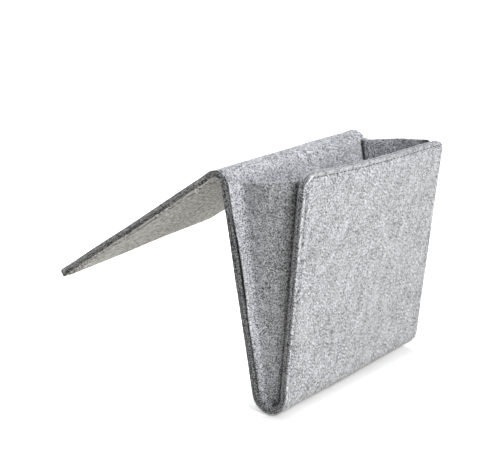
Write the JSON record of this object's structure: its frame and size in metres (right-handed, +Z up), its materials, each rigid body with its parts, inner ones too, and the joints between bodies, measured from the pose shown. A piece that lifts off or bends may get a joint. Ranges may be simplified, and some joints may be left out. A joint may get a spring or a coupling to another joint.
{
  "type": "bedside caddy",
  "caption": "Felt bedside caddy: a flap that tucks in beside the mattress and an open pocket with channel gussets that hangs from it.",
  "frame": {"origin": "middle of the flap's top face", "axes": "+Z up; -Y out of the pocket's front face, so +Y is the way the flap reaches; X across the width"},
  "size_m": [0.26, 0.3002, 0.2397],
  "materials": {
    "panel_felt": "pressed felt, mottled light grey, matt",
    "gusset_felt": "thinner pressed felt, mottled light grey, matt",
    "seam_thread": "grey sewing thread"
  },
  "bodies": {
    "flap": {"flap_top_felt": "panel_felt", "flap_under_felt": "panel_felt", "flap_top_seam": "seam_thread", "flap_under_seam": "seam_thread"},
    "back": {"back_inner_felt": "panel_felt", "back_rear_felt": "panel_felt", "back_seam_left": "seam_thread", "back_seam_right": "seam_thread", "ridge_top_felt": "panel_felt", "ridge_under_felt": "panel_felt", "ridge_top_seam_left": "seam_thread", "ridge_top_seam_right": "seam_thread", "ridge_under_seam_left": "seam_thread", "ridge_under_seam_right": "seam_thread", "bottom_inner_felt": "panel_felt", "bottom_outer_felt": "panel_felt", "bottom_seam_left": "seam_thread", "bottom_seam_right": "seam_thread", "gusset_left": "gusset_felt", "gusset_right": "gusset_felt", "gusset_back_seam_left": "seam_thread", "gusset_back_seam_right": "seam_thread"},
    "front": {"front_outer_felt": "panel_felt", "front_inner_felt": "panel_felt", "front_outer_seam": "seam_thread", "front_inner_seam": "seam_thread", "gusset_front_seam_left": "seam_thread", "gusset_front_seam_right": "seam_thread"}
  },
  "joints": [
    {"name": "ridge_fold", "type": "hinge", "parent": "flap", "child": "back", "pos_m": [0, -0.10494, 0.05716], "axis": [1, 0, 0], "range_deg": [-110, 65], "stiffness_Nm_per_rad": 3, "springref_deg": -2.01, "deforming": ["ridge_top_felt", "ridge_under_felt", "ridge_top_seam_left", "ridge_top_seam_right", "ridge_under_seam_left", "ridge_under_seam_right"]},
    {"name": "mouth", "type": "hinge", "parent": "back", "child": "front", "pos_m": [0, -0.16576, -0.16194], "axis": [1, 0, 0], "range_deg": [-17, 4], "stiffness_Nm_per_rad": 2, "springref_deg": -0.58, "deforming": ["bottom_inner_felt", "bottom_outer_felt", "bottom_seam_left", "bottom_seam_right", "gusset_left", "gusset_right"]}
  ]
}
